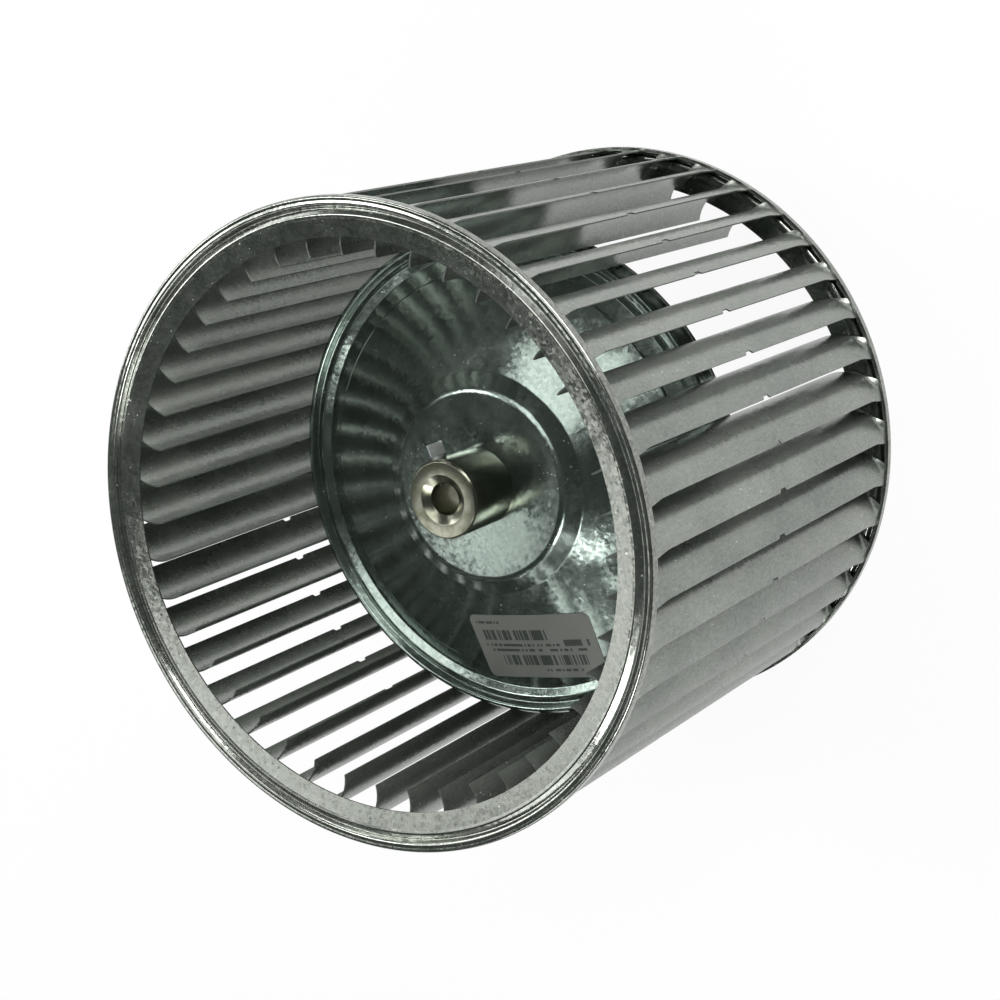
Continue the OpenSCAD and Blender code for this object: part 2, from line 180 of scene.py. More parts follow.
@dataclass(frozen=True)
class SheetFinish:
    """Hot dip galvanised steel sheet, rolled or pressed: a satin zinc skin with fine spangle.

    The zinc's crystals lie at slightly different tilts, so that the sheet glitters where bright and
    dark surroundings meet in it. The rolls leave fine grain along the sheet, drawn coarser than the
    real one so that it shows. Handling gives soft mottling and white specks, and cut edges show bare
    steel.
    """

    name: str
    dark: str = "#6a6f6b"
    light: str = "#989c95"
    edge: str = "#777b76"
    speck: str = "#dfe1dc"
    metal_share: float = 0.92
    spangle_mm: float = 1.3
    spangle_tilt: float = 0.05
    spangle_share: float = 0.3
    cloud_mm: float = 3.0
    cloud_tilt: float = 0.06
    mottle_mm: float = 30.0
    grain_mm: float = 0.45
    grain_stretch: float = 1.0
    grain_share: float = 0.35
    grain_low: float = 0.25
    grain_high: float = 0.75
    grain_depth_mm: float = 0.006
    rough_low: float = 0.18
    rough_high: float = 0.3
    dent_mm: float = 16.0
    dent_depth_mm: float = 0.06
    speck_mm: float = 1.1
    speck_level: float = 0.94
    speck_soft: float = 0.04
    speck_mottle: float = 0.35
    speck_metal: float = 0.3
    blade_share: float = 0.0

    def material(self) -> bpy.types.Material:
        """Builds the finish.

        Returns:
            The finished material.
        """
        material, tree = new_material(self.name)
        place = add_node(tree, "ShaderNodeTexCoord").outputs["Object"]
        spangle = add_node(
            tree, "ShaderNodeTexVoronoi", {"Vector": place, "Scale": 1 / (self.spangle_mm * MM)}
        ).outputs["Color"]
        crystal = add_node(tree, "ShaderNodeSeparateColor", {"Color": spangle}).outputs["Red"]
        mottle = add_node(
            tree, "ShaderNodeTexNoise",
            {"Vector": place, "Scale": 1 / (self.mottle_mm * MM), "Detail": 5.0, "Roughness": 0.55},
        ).outputs["Fac"]
        grain_place = add_node(
            tree, "ShaderNodeMapping", {"Vector": place, "Scale": (1, 1, 1 / self.grain_stretch)}
        ).outputs["Vector"]
        grain = add_node(
            tree, "ShaderNodeTexNoise",
            {"Vector": grain_place, "Scale": 1 / (self.grain_mm * MM), "Detail": 2.0},
        ).outputs["Fac"]
        specks = self._specks(tree, place, mottle)
        shader = add_node(
            tree, "ShaderNodeBsdfPrincipled",
            {
                "Base Color": self._colour(tree, crystal, mottle, grain, specks),
                "Metallic": add_node(
                    tree, "ShaderNodeMapRange",
                    {"Value": specks, "To Min": self.metal_share, "To Max": self.speck_metal},
                ).outputs["Result"],
                "Roughness": add_node(
                    tree, "ShaderNodeMapRange",
                    {"Value": mottle, "From Min": NOISE_LOW, "From Max": NOISE_HIGH,
                     "To Min": self.rough_low, "To Max": self.rough_high},
                ).outputs["Result"],
                "Normal": self._surface(tree, place, spangle, grain),
            },
        ).outputs["BSDF"]
        add_node(tree, "ShaderNodeOutputMaterial", {"Surface": shader})
        return material

    def _colour(
        self,
        tree: bpy.types.NodeTree,
        crystal: bpy.types.NodeSocket,
        mottle: bpy.types.NodeSocket,
        grain: bpy.types.NodeSocket,
        specks: bpy.types.NodeSocket,
    ) -> bpy.types.NodeSocket:
        """Mixes the sheet's greys, its specks and its cut edges.

        Args:
            tree: Tree of the material.
            crystal: Socket of each crystal's own tone.
            mottle: Socket of the mottling.
            grain: Socket of the rolled grain.
            specks: Socket of the share of speck.

        Returns:
            Socket of the colour.
        """
        even, lined = (
            add_node(
                tree, "ShaderNodeMapRange", {"Value": pattern, "From Min": low, "From Max": high}
            ).outputs["Result"]
            for pattern, low, high in (
                (mottle, NOISE_LOW, NOISE_HIGH), (grain, self.grain_low, self.grain_high)
            )
        )
        streaked = add_node(
            tree, "ShaderNodeMix", {"Factor": self.grain_share, "A": even, "B": lined}
        ).outputs["Result"]
        sheet_tone = add_node(
            tree, "ShaderNodeMix", {"Factor": self.spangle_share, "A": streaked, "B": crystal}
        ).outputs["Result"]
        blade_tone = add_node(
            tree, "ShaderNodeAttribute", attribute_type="GEOMETRY", attribute_name="blade_tone"
        ).outputs["Fac"]
        tone = add_node(
            tree, "ShaderNodeMath", {0: blade_tone, 1: self.blade_share, 2: sheet_tone},
            operation="MULTIPLY_ADD", use_clamp=True,
        ).outputs["Value"]
        skin = mixed_colour(tree, tone, linear(self.dark), linear(self.light))
        speckled = mixed_colour(tree, specks, skin, linear(self.speck))
        cut = add_node(
            tree, "ShaderNodeAttribute", attribute_type="GEOMETRY", attribute_name="cut_edge"
        ).outputs["Fac"]
        return mixed_colour(tree, cut, speckled, linear(self.edge))

    def _surface(
        self,
        tree: bpy.types.NodeTree,
        place: bpy.types.NodeSocket,
        spangle: bpy.types.NodeSocket,
        grain: bpy.types.NodeSocket,
    ) -> bpy.types.NodeSocket:
        """Tilts the crystals and adds shallow dents and grain.

        Args:
            tree: Tree of the material.
            place: Socket of the object coordinates.
            spangle: Socket of each crystal's own colour, read as a direction.
            grain: Socket of the rolled grain.

        Returns:
            Socket of the surface's normal.
        """
        clouds = add_node(
            tree, "ShaderNodeTexNoise",
            {"Vector": place, "Scale": 1 / (self.cloud_mm * MM), "Detail": 2.0},
        ).outputs["Color"]
        tilted = add_node(tree, "ShaderNodeNewGeometry").outputs["Normal"]
        for pattern, tilt in ((spangle, self.spangle_tilt), (clouds, self.cloud_tilt)):
            way = add_node(
                tree, "ShaderNodeVectorMath", {0: pattern, 1: NO_TILT}, operation="SUBTRACT"
            ).outputs["Vector"]
            tilted = add_node(
                tree, "ShaderNodeVectorMath", {0: way, 1: (tilt,) * 3, 2: tilted},
                operation="MULTIPLY_ADD",
            ).outputs["Vector"]
        even = add_node(
            tree, "ShaderNodeVectorMath", {0: tilted}, operation="NORMALIZE"
        ).outputs["Vector"]
        dents = add_node(
            tree, "ShaderNodeTexNoise",
            {"Vector": place, "Scale": 1 / (self.dent_mm * MM), "Detail": 1.0},
        ).outputs["Fac"]
        dented = add_node(
            tree, "ShaderNodeBump",
            {"Height": dents, "Distance": self.dent_depth_mm * MM, "Normal": even},
        ).outputs["Normal"]
        return add_node(
            tree, "ShaderNodeBump",
            {"Height": grain, "Distance": self.grain_depth_mm * MM, "Strength": 0.5, "Normal": dented},
        ).outputs["Normal"]

    def _specks(
        self, tree: bpy.types.NodeTree, place: bpy.types.NodeSocket, mottle: bpy.types.NodeSocket
    ) -> bpy.types.NodeSocket:
        """Draws the white specks of oxide, thickest where the mottling is light.

        Args:
            tree: Tree of the material.
            place: Socket of the object coordinates.
            mottle: Socket of the mottling.

        Returns:
            Socket of the share of speck, from 0 to 1.
        """
        spots = add_node(
            tree, "ShaderNodeTexNoise",
            {"Vector": place, "Scale": 1 / (self.speck_mm * MM), "Detail": 1.0},
        ).outputs["Fac"]
        lifted = add_node(
            tree, "ShaderNodeMath", {0: mottle, 1: self.speck_mottle, 2: spots},
            operation="MULTIPLY_ADD",
        ).outputs["Value"]
        full = self.speck_level + self.speck_soft
        return add_node(
            tree, "ShaderNodeMapRange",
            {"Value": lifted, "From Min": self.speck_level, "From Max": full},
        ).outputs["Result"]


@dataclass(frozen=True)
class TurnedFinish:
    """Turned steel with plated zinc: faint lathe marks round the axis under a thin clear colour.

    The marks are drawn coarser than real ones so that they show.
    """

    name: str
    colour: str
    stain: str
    rough: float = 0.2
    smoothest: float = 0.8
    roughest: float = 1.4
    mark_mm: float = 0.5
    mark_depth_mm: float = 0.004
    stain_mm: float = 5.0
    stain_low: float = 0.35
    stain_high: float = 0.65

    def material(self) -> bpy.types.Material:
        """Builds the finish.

        Returns:
            The finished material.
        """
        material, tree = new_material(self.name)
        place = add_node(tree, "ShaderNodeTexCoord").outputs["Object"]
        stain = add_node(
            tree, "ShaderNodeTexNoise",
            {"Vector": place, "Scale": 1 / (self.stain_mm * MM), "Detail": 4.0},
        ).outputs["Fac"]
        even = add_node(
            tree, "ShaderNodeMapRange",
            {"Value": stain, "From Min": self.stain_low, "From Max": self.stain_high},
        ).outputs["Result"]
        colour = mixed_colour(tree, even, linear(self.colour), linear(self.stain))
        marks = add_node(
            tree, "ShaderNodeTexWave",
            {"Vector": place, "Scale": WAVE_LENGTH / (self.mark_mm * MM), "Distortion": 0.6,
             "Detail": 1.0},
            wave_type="RINGS", rings_direction="Z",
        ).outputs["Fac"]
        bump = add_node(
            tree, "ShaderNodeBump",
            {"Height": marks, "Distance": self.mark_depth_mm * MM, "Strength": 0.5},
        ).outputs["Normal"]
        rough = add_node(
            tree, "ShaderNodeMapRange",
            {"Value": stain, "To Min": self.rough * self.smoothest, "To Max": self.rough * self.roughest},
        ).outputs["Result"]
        shader = add_node(
            tree, "ShaderNodeBsdfPrincipled",
            {"Base Color": colour, "Metallic": 1.0, "Roughness": rough, "Normal": bump},
        ).outputs["BSDF"]
        add_node(tree, "ShaderNodeOutputMaterial", {"Surface": shader})
        return material


@dataclass(frozen=True)
class PrintRow:
    """One row of plain bars on the label, in shares of its width and height."""

    left: float
    right: float
    low: float
    high: float
    bar: float
    ink_share: float


@dataclass(frozen=True)
class PaperFinish:
    """Coated paper with rows of plain grey bars and a slight sheen; the paper's white is painted down to a
    grey, as painted shade.
    """

    name: str
    paper: str
    ink: str
    rows: tuple[PrintRow, ...]
    rough: float = 0.45
    ior: float = 1.5

    def material(self) -> bpy.types.Material:
        """Builds the finish.

        Returns:
            The finished material.
        """
        material, tree = new_material(self.name)
        sheet = add_node(tree, "ShaderNodeUVMap", uv_map="label").outputs["UV"]
        axes = add_node(tree, "ShaderNodeSeparateXYZ", {"Vector": sheet}).outputs
        ink = None
        for row in self.rows:
            bars = self._bars(tree, axes["X"], axes["Y"], row)
            ink = bars if ink is None else add_node(
                tree, "ShaderNodeMath", {0: ink, 1: bars}, operation="MAXIMUM"
            ).outputs["Value"]
        # The paper colour carries painted shade, darker than the white paper itself.
        colour = mixed_colour(tree, ink, linear(self.paper), linear(self.ink))
        shader = add_node(
            tree, "ShaderNodeBsdfPrincipled",
            {"Base Color": colour, "Metallic": 0.0, "Roughness": self.rough, "IOR": self.ior},
        ).outputs["BSDF"]
        add_node(tree, "ShaderNodeOutputMaterial", {"Surface": shader})
        return material

    def _bars(
        self,
        tree: bpy.types.NodeTree,
        across: bpy.types.NodeSocket,
        up: bpy.types.NodeSocket,
        row: PrintRow,
    ) -> bpy.types.NodeSocket:
        """Draws one row of bars of uneven width.

        Args:
            tree: Tree of the material.
            across: Socket of the place across the label.
            up: Socket of the place up the label.
            row: The row to draw.

        Returns:
            Socket that is 1 on a bar and 0 beside it.
        """
        cells = add_node(
            tree, "ShaderNodeMath", {0: across, 1: row.bar}, operation="SNAP"
        ).outputs["Value"]
        chance = add_node(
            tree, "ShaderNodeTexWhiteNoise", {"W": cells}, noise_dimensions="1D"
        ).outputs["Value"]
        inked = add_node(
            tree, "ShaderNodeMath", {0: chance, 1: row.ink_share}, operation="LESS_THAN"
        ).outputs["Value"]
        for place, low, high in ((across, row.left, row.right), (up, row.low, row.high)):
            inside = add_node(
                tree, "ShaderNodeMath",
                {0: place, 1: (low + high) / 2, 2: (high - low) / 2}, operation="COMPARE",
            ).outputs["Value"]
            inked = add_node(
                tree, "ShaderNodeMath", {0: inked, 1: inside}, operation="MULTIPLY"
            ).outputs["Value"]
        return inked


BLADE_SHEET = SheetFinish(
    "galvanised blade sheet", dark="#606662", light="#9a9e97", metal_share=0.7, spangle_mm=0.9,
    spangle_tilt=0.06, spangle_share=0.25, grain_mm=0.3, grain_stretch=14.0, grain_share=0.5,
    rough_low=0.22, rough_high=0.34, mottle_mm=45.0, blade_share=0.2,
)
RING_SHEET = SheetFinish(
    "galvanised ring sheet", dark="#6a6e69", light="#a9aca5", spangle_mm=1.2, spangle_tilt=0.04,
    spangle_share=0.5, cloud_mm=2.5, cloud_tilt=0.025, mottle_mm=12.0, rough_low=0.14,
    rough_high=0.22, dent_mm=14.0, dent_depth_mm=0.03,
)
DISC_SHEET = SheetFinish(
    "galvanised disc sheet", dark="#636f69", light="#929d96", spangle_mm=1.3, spangle_tilt=0.035,
    spangle_share=0.4, cloud_mm=3.5, cloud_tilt=0.05, rough_low=0.14, rough_high=0.22,
    mottle_mm=14.0, dent_mm=30.0, dent_depth_mm=0.12, speck_mm=0.9, speck_level=0.96,
)
HUB_ZINC = TurnedFinish("pale yellow zinc", colour="#97978a", stain="#7d7f6c", rough=0.2)
SCREW_ZINC = TurnedFinish("bright zinc", colour="#cdd1ce", stain="#a3a8a5", rough=0.36, mark_mm=0.3)
# The label's white paper is painted a mid grey here: painted shade for the shade the label lies in on the
# cone.
LABEL_PAPER = PaperFinish(
    "coated label paper", paper="#858882", ink="#454a47",
    rows=(
        PrintRow(0.05, 0.26, 0.86, 0.9, 0.012, 0.75),
        PrintRow(0.07, 0.62, 0.6, 0.76, 0.0075, 0.62),
        PrintRow(0.07, 0.7, 0.5, 0.54, 0.014, 0.7),
        PrintRow(0.74, 0.94, 0.5, 0.6, 0.02, 0.8),
        PrintRow(0.1, 0.9, 0.42, 0.46, 0.016, 0.66),
        PrintRow(0.18, 0.88, 0.2, 0.36, 0.0075, 0.62),
        PrintRow(0.5, 0.84, 0.1, 0.14, 0.014, 0.7),
    ),
)


def rounded_path(path: Sequence[Sequence[float]], bend_r: float, steps: int) -> list[Vector]:
    """Rounds the corners of a path.

    Args:
        path: Points of the path, as radius, height and, where it has one, its own bend radius.
        bend_r: Radius of the other corners, less where a side is short.
        steps: Number of chords in a corner.

    Returns:
        Points of the rounded path.
    """
    points = [Vector(p[:2]) for p in path]
    radii = [p[2] if len(p) > 2 else bend_r for p in path]
    rounded = [points[0]]
    for before, corner, after, radius in zip(points, points[1:], points[2:], radii[1:]):
        back, on = (before - corner), (after - corner)
        half = back.angle(-on) / 2
        if half < STRAIGHT:
            rounded.append(corner)
            continue
        reach = min(radius * math.tan(half), SIDE_SHARE * min(back.length, on.length))
        bend = reach / math.tan(half)
        middle = corner + (back.normalized() + on.normalized()).normalized() * bend / math.cos(half)
        start, end = (corner + side.normalized() * reach - middle for side in (back, on))
        rounded += [middle + start.lerp(end, s).normalized() * bend for s in spread(0, 1, steps)]
    return rounded + [points[-1]]


def sheet_outline(path: Sequence[Vector], thickness: float) -> list[Vector]:
    """Gives a path the thickness of a sheet.

    Args:
        path: Middle line of the sheet.
        thickness: Thickness of the sheet.

    Returns:
        Closed outline of the sheet's section.
    """
    offsets = []
    for i in range(len(path)):
        before = (path[max(i, 1)] - path[max(i, 1) - 1]).normalized()
        after = (path[min(i, len(path) - 2) + 1] - path[min(i, len(path) - 2)]).normalized()
        both = Vector((-before.y - after.y, before.x + after.x))
        offsets.append(both * thickness / both.dot(both))
    left = [p + o for p, o in zip(path, offsets)]
    right = [p - o for p, o in zip(path, offsets)]
    return left + right[::-1]


def mesh_from(
    name: str, points: Sequence[Vector], faces: Sequence[Sequence[int]], outwards: bool = True
) -> bpy.types.Mesh:
    """Makes a mesh from points in millimetres.

    Args:
        name: Name of the mesh.
        points: Points in millimetres.
        faces: Corners of each face, as numbers of points.
        outwards: Whether the faces of the closed mesh are turned outwards.

    Returns:
        The mesh, in metres.
    """
    mesh = bpy.data.meshes.new(name)
    mesh.from_pydata([Vector(p) * MM for p in points], [], faces)
    if outwards:
        shape = bmesh.new()
        shape.from_mesh(mesh)
        bmesh.ops.recalc_face_normals(shape, faces=shape.faces)
        shape.to_mesh(mesh)
        shape.free()
    return mesh


def lathed(name: str, outline: Sequence[Vector], segments: int) -> bpy.types.Mesh:
    """Turns a closed outline round the wheel's axis.

    Args:
        name: Name of the mesh.
        outline: Closed outline, as radius and height.
        segments: Number of steps round the axis.

    Returns:
        The closed mesh.
    """
    count = len(outline)
    points = [
        Vector((p[0] * math.cos(a), p[0] * math.sin(a), p[1]))
        for a in (math.tau * k / segments for k in range(segments)) for p in outline
    ]
    faces = [
        (k * count + i, k * count + (i + 1) % count,
         (k + 1) % segments * count + (i + 1) % count, (k + 1) % segments * count + i)
        for k in range(segments) for i in range(count)
    ]
    return mesh_from(name, points, faces)


def finished_piece(
    name: str,
    mesh: bpy.types.Mesh,
    material: bpy.types.Material,
    body: Body,
    nodes: Sequence[str],
    crease: float = 35.0,
) -> bpy.types.Object:
    """Makes a piece of the wheel from its mesh and hands it to the frame.

    Args:
        name: Name of the piece.
        mesh: Finished mesh, in place.
        material: Finish of the piece.
        body: Body that the piece rides on.
        nodes: Solids that the piece replaces.
        crease: Angle between faces past which their edge is sharp.

    Returns:
        The piece.
    """
    mesh.materials.clear()
    mesh.materials.append(material)
    mesh.shade_smooth()
    mesh.set_sharp_from_angle(angle=math.radians(crease))
    piece = bpy.data.objects.new(name, mesh)
    bpy.context.collection.objects.link(piece)
    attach(piece, body.value)
    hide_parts(*nodes)
    LOG.info("%s: %d faces", name, len(mesh.polygons))
    return piece


@dataclass
class EndRing:
    """A rolled sheet ring: inner lip, flat band, bead, groove and the hem that clenches the blades."""

    outer_r: float
    wheel_w: float
    sheet_t: float = 0.8
    ring_w: float = 14.65
    hem_w: float = 3.6
    hem_h: float = 3.6
    crest_groove: float = 0.3
    groove_h: float = 2.6
    groove_w: float = 1.1
    bead_drop: float = 1.0
    bead_inset: float = 6.95
    bead_w: float = 1.2
    bead_h: float = 0.35
    lip_drop: float = 2.65
    bend_r: float = 0.8
    segments: int = 288
    bend_steps: int = 6

    def outline(self, wall_end: float) -> list[Vector]:
        """Draws the section of the ring.

        Args:
            wall_end: Depth of the hem's outer wall.

        Returns:
            Closed outline, as radius and depth below the hem's crest.
        """
        half = self.sheet_t / 2
        hem_out = self.outer_r - half
        hem_in = self.outer_r - self.hem_w + half
        bead = self.outer_r - self.bead_inset
        path = [
            (self.outer_r - self.ring_w, self.lip_drop + half),
            (bead - self.bead_w, self.bead_drop + self.bead_h + half),
            (bead, self.bead_drop + half),
            (hem_in - self.groove_w, self.groove_h + half),
            (hem_in, half),
            ((hem_in + hem_out) / 2, self.crest_groove + half),
            (hem_out, half),
            (hem_out, wall_end),
        ]
        return sheet_outline(rounded_path(path, self.bend_r, self.bend_steps), self.sheet_t)

    def build(self, name: str, node: str, front: bool, material: bpy.types.Material) -> bpy.types.Object:
        """Makes one of the two rings.

        Args:
            name: Name of the piece.
            node: Solid that it replaces.
            front: Whether it is the front ring, whose crest faces up.
            material: Finish of the ring.

        Returns:
            The piece.
        """
        crest = min(p.y for p in self.outline(self.hem_h))
        section = [Vector((p.x, p.y - crest)) for p in self.outline(self.hem_h + crest)]
        if front:
            section = [Vector((p.x, self.wheel_w - p.y)) for p in section]
        mesh = lathed(name, section, self.segments)
        return finished_piece(name, mesh, material, Body.WHEEL, [node], crease=50)


@dataclass
class CentreDisc:
    """The pressed sheet disc: raised plate, cone, ridged channel, rolled rim and beaded flange."""

    rim_r: float
    plate_z: float
    sheet_t: float = 1.2
    hole_r: float = 12.05
    plate_r: float = 37.8
    step_h: float = 4.45
    step_w: float = 6.5
    cone_h: float = 14.45
    channel_w: float = 17.15
    channel_step_h: float = 0.5
    inner_groove_h: float = 2.8
    inner_groove_place: float = 9.3
    ridge_h: float = 1.9
    ridge_place: float = 5.8
    outer_groove_h: float = 0.9
    outer_groove_place: float = 3.2
    lip_h: float = 1.4
    flange_h: float = 13.1
    flange_bead: float = 0.7
    flange_bead_place: float = 3.4
    flange_bead_w: float = 3.2
    rim_flare_h: float = 4.0
    rim_roll_h: float = 2.1
    rim_roll_w: float = 1.3
    bend_r: float = 1.2
    plate_bend_r: float = 5.0
    segments: int = 288
    bend_steps: int = 6

    @property
    def cone_in_r(self) -> float:
        """Radius of the cone's inner edge."""
        return self.plate_r + self.step_w

    @property
    def cone_out_r(self) -> float:
        """Radius of the cone's outer edge."""
        return self.rim_r + self.sheet_t / 2 - self.channel_w

    @property
    def cone_top_z(self) -> float:
        """Height of the cone's inner edge."""
        return self.plate_z - self.step_h

    def cone_face_z(self, radius: float) -> float:
        """Height of the cone's front face at a radius."""
        slope = self.cone_h / (self.cone_out_r - self.cone_in_r)
        rise = self.sheet_t / 2 * (math.hypot(1, slope) - 1)
        return self.cone_top_z - (radius - self.cone_in_r) * slope + rise

    def path(self) -> list[tuple[float, ...]]:
        """Lists the corners of the disc's front face.

        Returns:
            Corners from the flange's open end to the hub's hole, as radius and height, with a bend
            radius where it isn't the common one.
        """
        foot_z = self.cone_top_z - self.cone_h
        lip_z = foot_z + self.lip_h
        flange_r = self.rim_r - self.flange_bead
        flange_z = lip_z - self.flange_h
        bead_z = flange_z + self.flange_bead_place
        channel_z = foot_z - self.channel_step_h
        groove_z = channel_z - self.inner_groove_h
        ridge_z = groove_z + self.ridge_h
        return [
            (flange_r, flange_z),
            (flange_r, bead_z - self.flange_bead_w / 2),
            (self.rim_r, bead_z),
            (flange_r, bead_z + self.flange_bead_w / 2),
            (flange_r, lip_z - self.rim_flare_h),
            (self.rim_r, lip_z - self.rim_roll_h),
            (self.rim_r - self.rim_roll_w, lip_z),
            (self.rim_r - self.outer_groove_place, ridge_z - self.outer_groove_h),
            (self.rim_r - self.ridge_place, ridge_z),
            (self.rim_r - self.inner_groove_place, groove_z),
            (self.cone_out_r + self.channel_step_h, channel_z),
            (self.cone_out_r, foot_z),
            (self.cone_in_r, self.cone_top_z, self.plate_bend_r),
            (self.plate_r, self.plate_z, self.plate_bend_r),
            (self.hole_r, self.plate_z),
        ]

    def build(self, material: bpy.types.Material) -> bpy.types.Object:
        """Makes the disc.

        Args:
            material: Finish of the disc.

        Returns:
            The piece.
        """
        corners = rounded_path(self.path(), self.bend_r, self.bend_steps)
        middle = [p - Vector((0, self.sheet_t / 2)) for p in corners]
        mesh = lathed("centre_disc_sheet", sheet_outline(middle, self.sheet_t), self.segments)
        return finished_piece(
            "centre_disc_sheet", mesh, material, Body.WHEEL, ["centre_disc"], crease=50
        )


@dataclass
class BladeStrip:
    """One sheet pressed into curved blades, whose tabs flare into the margins that the rings clench."""

    wheel_r: float
    wheel_w: float
    ring_t: float = 0.8
    hem_h: float = 3.6
    blade_count: int = 43
    blade_phase: float = -189.5
    strip_t: float = 0.6
    eye_r: float = 98.9
    root_lean: float = 15.0
    tip_lean: float = 85.0
    cut_depth: float = 6.6
    split_lean: float = 30.0
    flare_start: float = 14.5
    flare_w: float = 8.6
    flare_shift: float = 1.25
    notch_place: float = 101.5
    notch_mouth_w: float = 5.5
    notch_floor_w: float = 3.5
    notch_h: float = 1.25
    clench_gap: float = 0.1
    hem_grip: float = 0.2
    hem_room: float = 1.1
    wave_mm: float = 0.25
    wave_length_mm: float = 45.0
    seed: int = 7
    tab_columns: int = 8
    root_columns: int = 6
    web_columns: int = 3
    tab_rows: int = 4
    flare_rows: int = 6
    plain_rows: int = 6
    probe_lean: float = 0.5
    probe_h: float = 0.2
    weld_mm: float = 0.02
    strip_r: float = field(init=False)
    margin_start: float = field(init=False)
    margin_end: float = field(init=False)
    arc_r: float = field(init=False)
    pitch: float = field(init=False)

    def __post_init__(self) -> None:
        """Works out the sizes that follow from the others."""
        self.strip_r = self.wheel_r - self.ring_t - self.clench_gap - self.strip_t / 2
        self.margin_start = self.hem_h - self.hem_grip
        self.margin_end = self.ring_t + self.hem_room
        self.pitch = math.tau / self.blade_count
        tip, root = math.radians(self.tip_lean), math.radians(self.root_lean)
        across, along = math.sin(tip) + math.sin(root), math.cos(root) - math.cos(tip)
        square, half = across ** 2 + along ** 2, self.eye_r * across
        self.arc_r = (math.sqrt(half ** 2 + square * (self.strip_r ** 2 - self.eye_r ** 2)) - half) / square

    def arc_place(self, lean: float) -> tuple[float, float]:
        """Returns the radius and the angle, in radians, of the blade's arc at a lean."""
        turned, root = math.radians(lean), math.radians(self.root_lean)
        x = self.eye_r + self.arc_r * (math.sin(turned) + math.sin(root))
        y = self.arc_r * (math.cos(root) - math.cos(turned))
        return math.hypot(x, y), -math.atan2(y, x)

    def tab_share(self, lean: float) -> float:
        """Returns the share of the tab's width, from its leading edge, at a lean."""
        return clamped((self.tip_lean - lean) / (self.tip_lean - self.split_lean))

    def tab_angle(self, lean: float) -> float:
        """Returns the angle, in radians, at which a column of the tab meets the margin."""
        start = self.arc_place(self.tip_lean)[1] - self.flare_shift / self.strip_r
        return start + self.tab_share(lean) * self.flare_w / self.strip_r

    def flare_share(self, lean: float, depth: float) -> float:
        """Returns how far a column has turned from the blade into the margin at a depth."""
        eased = smooth((self.flare_start - depth) / (self.flare_start - self.margin_start))
        held = clamped((self.cut_depth - depth) / (self.cut_depth - self.margin_start))
        return eased * mix(1 - self.tab_share(lean), 1, held)

    def middle(self, lean: float, z: float) -> Vector:
        """Returns the middle of the sheet at a lean and a height."""
        depth = min(z, self.wheel_w - z)
        share = 0.0 if lean < self.split_lean else self.flare_share(lean, depth)
        radius, angle = self.arc_place(lean)
        radius = mix(radius, self.strip_r, share)
        angle = mix(angle, self.tab_angle(lean), share)
        return Vector((radius * math.cos(angle), radius * math.sin(angle), z))

    def skin(self, lean: float, z: float, side: int) -> Vector:
        """Returns a point of one skin of the sheet.

        Args:
            lean: Lean of the blade there.
            z: Height.
            side: 1 for the outer skin and -1 for the inner one.

        Returns:
            The point.
        """
        inwards = 1 if z < self.wheel_w / 2 else -1
        low = max(lean - self.probe_lean, -self.root_lean)
        high = min(lean + self.probe_lean, self.tip_lean)
        over_arc = self.middle(high, z) - self.middle(low, z)
        over_length = (self.middle(lean, z + self.probe_h * inwards) - self.middle(lean, z)) / inwards
        normal = over_arc.cross(over_length).normalized()
        return self.middle(lean, z) - normal * side * self.strip_t / 2

    def margin(self, angle: float, z: float, side: int) -> Vector:
        """Returns a point of one skin of the margin at an angle in radians."""
        radius = self.strip_r + side * self.strip_t / 2
        return Vector((radius * math.cos(angle), radius * math.sin(angle), z))

    def heights(self) -> list[tuple[float, str]]:
        """Lists the rows of the mesh from the rear margin to the front one.

        Returns:
            Height and kind of each row: margin, tab or blade.
        """
        end = [(self.margin_end, "margin"), (self.margin_start, "margin")]
        end += [(d, "tab") for d in spread(self.margin_start, self.cut_depth, self.tab_rows)[1:-1]]
        end += [(d, "blade") for d in spread(self.cut_depth, self.flare_start, self.flare_rows)]
        notch_z = self.wheel_w - self.notch_place
        mouth, floor = self.notch_mouth_w / 2, self.notch_floor_w / 2
        plain = spread(self.flare_start, notch_z - mouth, self.plain_rows)[1:]
        cut = [notch_z - floor, notch_z + floor, notch_z + mouth]
        rest = spread(notch_z + mouth, self.wheel_w - self.flare_start, self.plain_rows)[1:-1]
        body = [(z, "blade") for z in plain + cut + rest]
        return end + body + [(self.wheel_w - d, kind) for d, kind in reversed(end)]

    def tip_lean_at(self, z: float) -> float:
        """Returns the lean of the blade's free edge at a height, less in its notch."""
        away = abs(z - (self.wheel_w - self.notch_place))
        mouth, floor = self.notch_mouth_w / 2, self.notch_floor_w / 2
        depth = self.notch_h * clamped((mouth - away) / (mouth - floor))
        return self.tip_lean - math.degrees(depth / self.arc_r)

